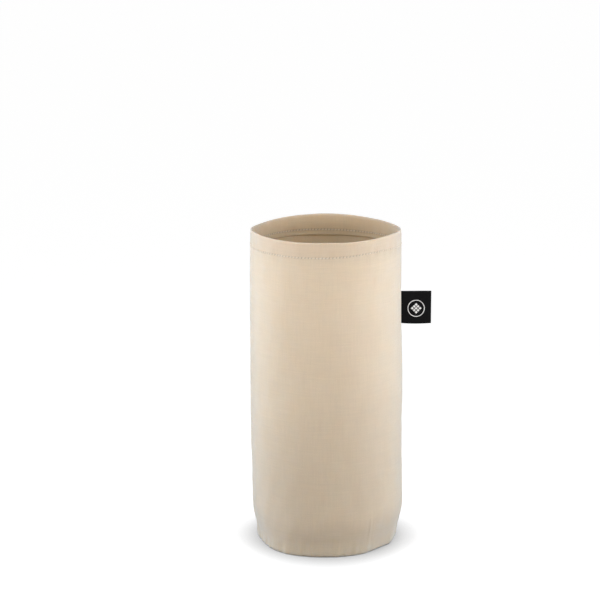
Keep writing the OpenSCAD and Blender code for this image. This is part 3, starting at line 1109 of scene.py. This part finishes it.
def build_label():
    """The black flag label: a folded ribbon sewn into the side seam."""
    _, _, label = settings()
    fold = np.sin(np.linspace(0, math.pi / 2, 9)) * 0.03
    straight = np.linspace(0.03, 1, 34)[1:]
    s = np.concatenate([-straight[::-1], -fold[::-1][:-1], [0.0], fold[1:], straight])
    level = np.linspace(0, 1, 30)
    centre = np.stack(label_shape(s[:, None], level[None, :]), -1)
    out = np.cross(np.gradient(centre, axis=0), np.gradient(centre, axis=1))
    out /= np.linalg.norm(out, axis=2, keepdims=True)
    half = out * label.ribbon_t / 2
    ring = np.concatenate([centre + half, (centre - half)[:, ::-1]], axis=1)
    path = lengths(centre[:, 15])
    heights = np.concatenate([level, level[::-1]]) * (LABEL_HIGH - LABEL_LOW)
    heights = np.append(heights, heights[0])
    flap = grid_mesh("label_ribbon", ring, path, heights, (False, True), caps=True)
    finish_piece(flap, "label_ribbon", replaces=["label_tail", "label_flap"])
    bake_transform(flap)
    return flap


def on_label(x, z, lift, front=True):
    """A point that lies lift above the label's front or back face."""
    _, _, label = settings()
    tip = LABEL_TIP - label.ribbon_t / 2
    s = (x - label_shift() - LABEL_ROOT) / (tip - LABEL_ROOT) - 1
    px, py, pz = label_shape(s if front else -s, (z - LABEL_LOW) / (LABEL_HIGH - LABEL_LOW))
    face = -1 if front else 1
    return np.stack([px, py + face * (label.ribbon_t / 2 + lift), pz], -1)


def mark_patch(x, z, front):
    """A thin raised patch of float yarns over a grid of places on the label."""
    edge = np.ones(x.shape)
    edge[0, :] = edge[-1, :] = edge[:, 0] = edge[:, -1] = 0.15
    top = on_label(x, z, 0.07 * MM * edge, front)
    low = on_label(x, z, -0.05 * MM, front)
    return np.concatenate([top, low[:, ::-1]], axis=1)


def there_and_back(values):
    """Values, then the same in reverse, then the first again, for a closed outline."""
    return np.concatenate([values, values[::-1], values[:1]])


def build_mark():
    """A plain woven ring round a small check of squares, on both faces of the label."""
    _, _, label = settings()
    middle_x = (BAG_R + LABEL_TIP) / 2 - 0.6 * MM + label_shift()
    middle_z = LABEL_LOW + 0.465 * (LABEL_HIGH - LABEL_LOW)
    width, side = np.linspace(-0.36, 0.36, 4) * MM, np.linspace(-1.05, 1.05, 7) * MM
    parts = []
    for front in (True, False):
        way = 1 if front else -1
        turn = np.linspace(0, TAU, 97)[:-1] * way
        x, z = np.cos(turn)[:, None], np.sin(turn)[:, None]
        radius = label.ring_r + width[None, :]
        ring = mark_patch(middle_x + radius * x, middle_z + radius * z, front)
        parts.append(grid_mesh("ring", ring, np.append(turn, TAU) * label.ring_r, there_and_back(width)))
        for i, j in np.ndindex(3, 3):
            u, v = np.broadcast_arrays(
                2.75 * MM * (i - 1) + side[:, None], 2.75 * MM * (j - 1) + side[None, :])
            x, z = (u - v) / math.sqrt(2), (u + v) / math.sqrt(2)
            square = mark_patch(middle_x + way * x, middle_z + z, front)
            parts.append(grid_mesh("square", square, side, there_and_back(side), (False, True), caps=True))
    mark = join(parts, "label_mark")
    outwards(mark)
    return finish_piece(mark, "label_mark", "label")


def join(parts, name):
    """Several meshes as one object."""
    bpy.ops.object.select_all(action="DESELECT")
    for part in parts:
        part.select_set(True)
    bpy.context.view_layer.objects.active = parts[0]
    bpy.ops.object.join()
    made = bpy.context.view_layer.objects.active
    made.name = made.data.name = name
    return made


def outwards(thing):
    """Turns every face of closed shells outwards."""
    shape = bmesh.new()
    shape.from_mesh(thing.data)
    bmesh.ops.recalc_face_normals(shape, faces=shape.faces)
    shape.to_mesh(thing.data)
    shape.free()


# ---------------------------------------------------------------- the studio

# How far from the bag the floor darkens, and how its soft shadow is drawn out to the front
SHADOW_REACH = 0.034
SHADOW_SHAPE = (1.0, 0.5, 0.0)


def seen_directly(tree):
    """1 for what the camera sees, directly or in a gloss or through glass, and 0 for thrown light."""
    path = Node(tree, "LightPath")
    beyond = path["Is Glossy Ray"].math("MAXIMUM", path["Is Transmission Ray"])
    return path["Is Camera Ray"].math("MAXIMUM", beyond)


def floor_material(color, lift):
    """A plain pale floor that shows white with the bag's soft shadow, and throws back little light."""
    material, tree = new_material("studio_floor")
    where = Node(tree, "TexCoord")["Object"]
    shade = noise(tree, where, 3.0, 2.0).remap(0.3, 0.7, 0.99, 1.0)
    matt = Node(tree, "BsdfDiffuse", {"Color": tint(tree, color, shade)})[0]
    near = Node(tree, "AmbientOcclusion", {"Distance": SHADOW_REACH}, samples=8)["AO"]
    wide = Node(tree, "VectorMath", {0: where, 1: SHADOW_SHAPE}, operation="MULTIPLY")[0]
    away = Node(tree, "VectorMath", {0: wide}, operation="LENGTH")["Value"]
    near = near.remap(0.0, 1.0, 0.10, 1.0) * away.remap(0.040, 0.080, 0.76, 1.0)
    glow = Node(tree, "Emission", {"Color": (1, 1, 1, 1), "Strength": near * lift})[0]
    chosen = Node(tree, "MixShader", {0: seen_directly(tree), 2: glow})[0]
    Node(tree, "OutputMaterial", {"Surface": Node(tree, "AddShader", {0: matt, 1: chosen})[0]})
    return material


def build_floor(studio):
    """A wide round floor under the bag."""
    cols, depth = 96, -0.15 * MM
    theta = np.arange(cols)[:, None] * TAU / cols
    radii = np.array([0.2, 0.6, 2, 6, 14.0])
    grid = np.stack([radii * np.cos(theta), radii * np.sin(theta), np.full((cols, len(radii)), depth)], -1)
    n = len(radii)
    faces = []
    for c in range(cols):
        a, b = c * n, (c + 1) % cols * n
        faces.append([cols * n, a, b])
        faces += [[a + r, a + r + 1, b + r + 1, b + r] for r in range(n - 1)]
    mesh = bpy.data.meshes.new("studio_floor")
    mesh.from_pydata(grid.reshape(-1, 3).tolist() + [[0, 0, depth]], [], faces)
    mesh.materials.append(floor_material(studio.floor_color, studio.floor_lift))
    floor = bpy.data.objects.new("studio_floor", mesh)
    bpy.context.scene.collection.objects.link(floor)


WARM = (1.0, 0.995, 0.98)
COOL = (0.83, 0.90, 1.0)
ROSE = (1.0, 0.91, 0.85)
# Name, power in watts, color, width and height, and place of each soft lamp. The front pair hangs
# level with the rim, close to the bag, so its light fades towards the ground.
LAMPS = (
    ("front_left_lamp", 0.80, WARM, (0.3, 0.12), (-0.32, -0.34, 0.35)),
    ("front_right_lamp", 0.80, WARM, (0.3, 0.12), (0.32, -0.34, 0.35)),
    ("flank_left_lamp", 0.68, COOL, (0.3, 0.12), (-0.46, -0.16, 0.35)),
    ("flank_right_lamp", 0.62, COOL, (0.3, 0.12), (0.46, -0.16, 0.35)),
    ("side_left_lamp", 0.69, COOL, (0.4, 0.6), (-0.80, 0.0, 0.34)),
    ("side_right_lamp", 1.65, COOL, (0.4, 0.6), (0.80, 0.0, 0.34)),
    ("rear_left_lamp", 2.52, COOL, (0.4, 0.6), (-0.75, 0.35, 0.34)),
    ("rear_right_lamp", 0.70, COOL, (0.4, 0.6), (0.75, 0.35, 0.34)),
    ("high_front_lamp", 2.60, WARM, (0.8, 0.5), (0.0, -0.95, 0.95)),
    ("overhead_lamp", 1.00, WARM, (0.5, 0.5), (0.0, -0.1, 1.0)),
    ("foot_left_lamp", 0.12, ROSE, (0.25, 0.10), (-0.50, -0.20, 0.11)),
    ("foot_right_lamp", 0.30, ROSE, (0.25, 0.08), (0.50, -0.28, 0.06)),
)


def build_lamp(name, power, color, size, at, aim):
    """A soft rectangular lamp that the camera doesn't see."""
    lamp = bpy.data.lights.new(name, "AREA")
    lamp.shape, lamp.energy = "RECTANGLE", power
    lamp.size, lamp.size_y = size
    lamp.color = color
    thing = bpy.data.objects.new(name, lamp)
    bpy.context.scene.collection.objects.link(thing)
    thing.location = at
    thing.rotation_euler = (Vector(aim) - Vector(at)).to_track_quat("-Z", "Y").to_euler()
    thing.visible_camera = False
    return thing


def build_world(strength):
    """Light from all round, and plain white wherever the floor ends."""
    world = bpy.data.worlds.new("studio")
    world.use_nodes = True
    tree = world.node_tree
    tree.nodes.clear()
    room = Node(tree, "Background", {"Color": (1, 0.99, 0.975, 1), "Strength": strength})[0]
    white = Node(tree, "Background", {"Color": (1, 1, 1, 1), "Strength": 1.1})[0]
    shown = Node(tree, "MixShader", {0: seen_directly(tree), 1: room, 2: white})[0]
    Node(tree, "OutputWorld", {"Surface": shown})
    bpy.context.scene.world = world


def build_studio():
    """The floor, the lamps, the room light and the camera."""
    studio = bpy.context.scene.grow_bag_studio
    scene = bpy.context.scene
    build_floor(studio)
    build_world(studio.ambient)
    for name, power, color, size, at in LAMPS:
        build_lamp(name, power * studio.lamp_power, color, size, at, (0, 0, 0.2))
    camera = bpy.data.cameras.new("camera")
    camera.sensor_width, camera.lens = 36, studio.lens
    camera.clip_start, camera.clip_end = 0.05, 60
    eye = bpy.data.objects.new("camera", camera)
    scene.collection.objects.link(eye)
    eye.location = studio.camera_place
    eye.rotation_euler = (math.pi / 2 - studio.camera_tilt, 0, 0)
    scene.camera = eye
    scene.view_settings.view_transform = "Standard"


# ---------------------------------------------------------------- operators and panel


class Step:
    """What the operators share: each builds its own pieces when it is called."""

    def execute(self, context):
        self.build()
        return {"FINISHED"}


class GROWBAG_OT_wall(Step, bpy.types.Operator):
    """Build the canvas wall with its turned hem and its side allowance"""

    bl_idname, bl_label = "growbag.wall", "Wall"

    def build(self):
        wall, fin = build_wall(), build_side_allowance()


class GROWBAG_OT_base(Step, bpy.types.Operator):
    """Build the round base panel with its edge turned up"""

    bl_idname, bl_label = "growbag.base", "Base"

    def build(self):
        base = build_base()


class GROWBAG_OT_bindings(Step, bpy.types.Operator):
    """Build the tapes that bind the side seam and the base seam"""

    bl_idname, bl_label = "growbag.bindings", "Bindings"

    def build(self):
        strip, ring = build_side_binding(), build_base_binding()


class GROWBAG_OT_stitches(Step, bpy.types.Operator):
    """Sew every visible row of stitches"""

    bl_idname, bl_label = "growbag.stitches", "Stitches"

    def build(self):
        build_stitches()


class GROWBAG_OT_label(Step, bpy.types.Operator):
    """Build the folded flag label and its plain woven mark"""

    bl_idname, bl_label = "growbag.label", "Label"

    def build(self):
        flap, mark = build_label(), build_mark()


class GROWBAG_OT_stage(Step, bpy.types.Operator):
    """Set up the floor, the lamps and the camera"""

    bl_idname, bl_label = "growbag.stage", "Stage"

    def build(self):
        build_studio()


OPERATORS = (
    GROWBAG_OT_base, GROWBAG_OT_wall, GROWBAG_OT_bindings,
    GROWBAG_OT_stitches, GROWBAG_OT_label, GROWBAG_OT_stage,
)
GROUPS = {
    "grow_bag_cloth": GrowBagCloth,
    "grow_bag_thread": GrowBagThread,
    "grow_bag_label": GrowBagLabel,
    "grow_bag_studio": GrowBagStudio,
}


class GROWBAG_PT_panel(bpy.types.Panel):
    """Lists the grow bag's sizes and the operators that build it"""

    bl_idname = "GROWBAG_PT_panel"
    bl_label = "Grow Bag"
    bl_space_type = "VIEW_3D"
    bl_region_type = "UI"
    bl_category = "Grow Bag"

    def draw(self, context):
        for name, kind in GROUPS.items():
            box = self.layout.box()
            for field in kind.__annotations__:
                box.prop(getattr(context.scene, name), field)
        for operator in OPERATORS:
            self.layout.operator(operator.bl_idname)


def register():
    for kind in (*GROUPS.values(), *OPERATORS, GROWBAG_PT_panel):
        bpy.utils.register_class(kind)
    for name, kind in GROUPS.items():
        setattr(bpy.types.Scene, name, bpy.props.PointerProperty(type=kind))


def unregister():
    for name in GROUPS:
        delattr(bpy.types.Scene, name)
    for kind in (GROWBAG_PT_panel, *reversed(OPERATORS), *reversed(GROUPS.values())):
        bpy.utils.unregister_class(kind)


def main():
    register()
    for operator in OPERATORS:
        group_name, call = operator.bl_idname.split(".")
        getattr(getattr(bpy.ops, group_name), call)()


if __name__ == "__main__":
    main()
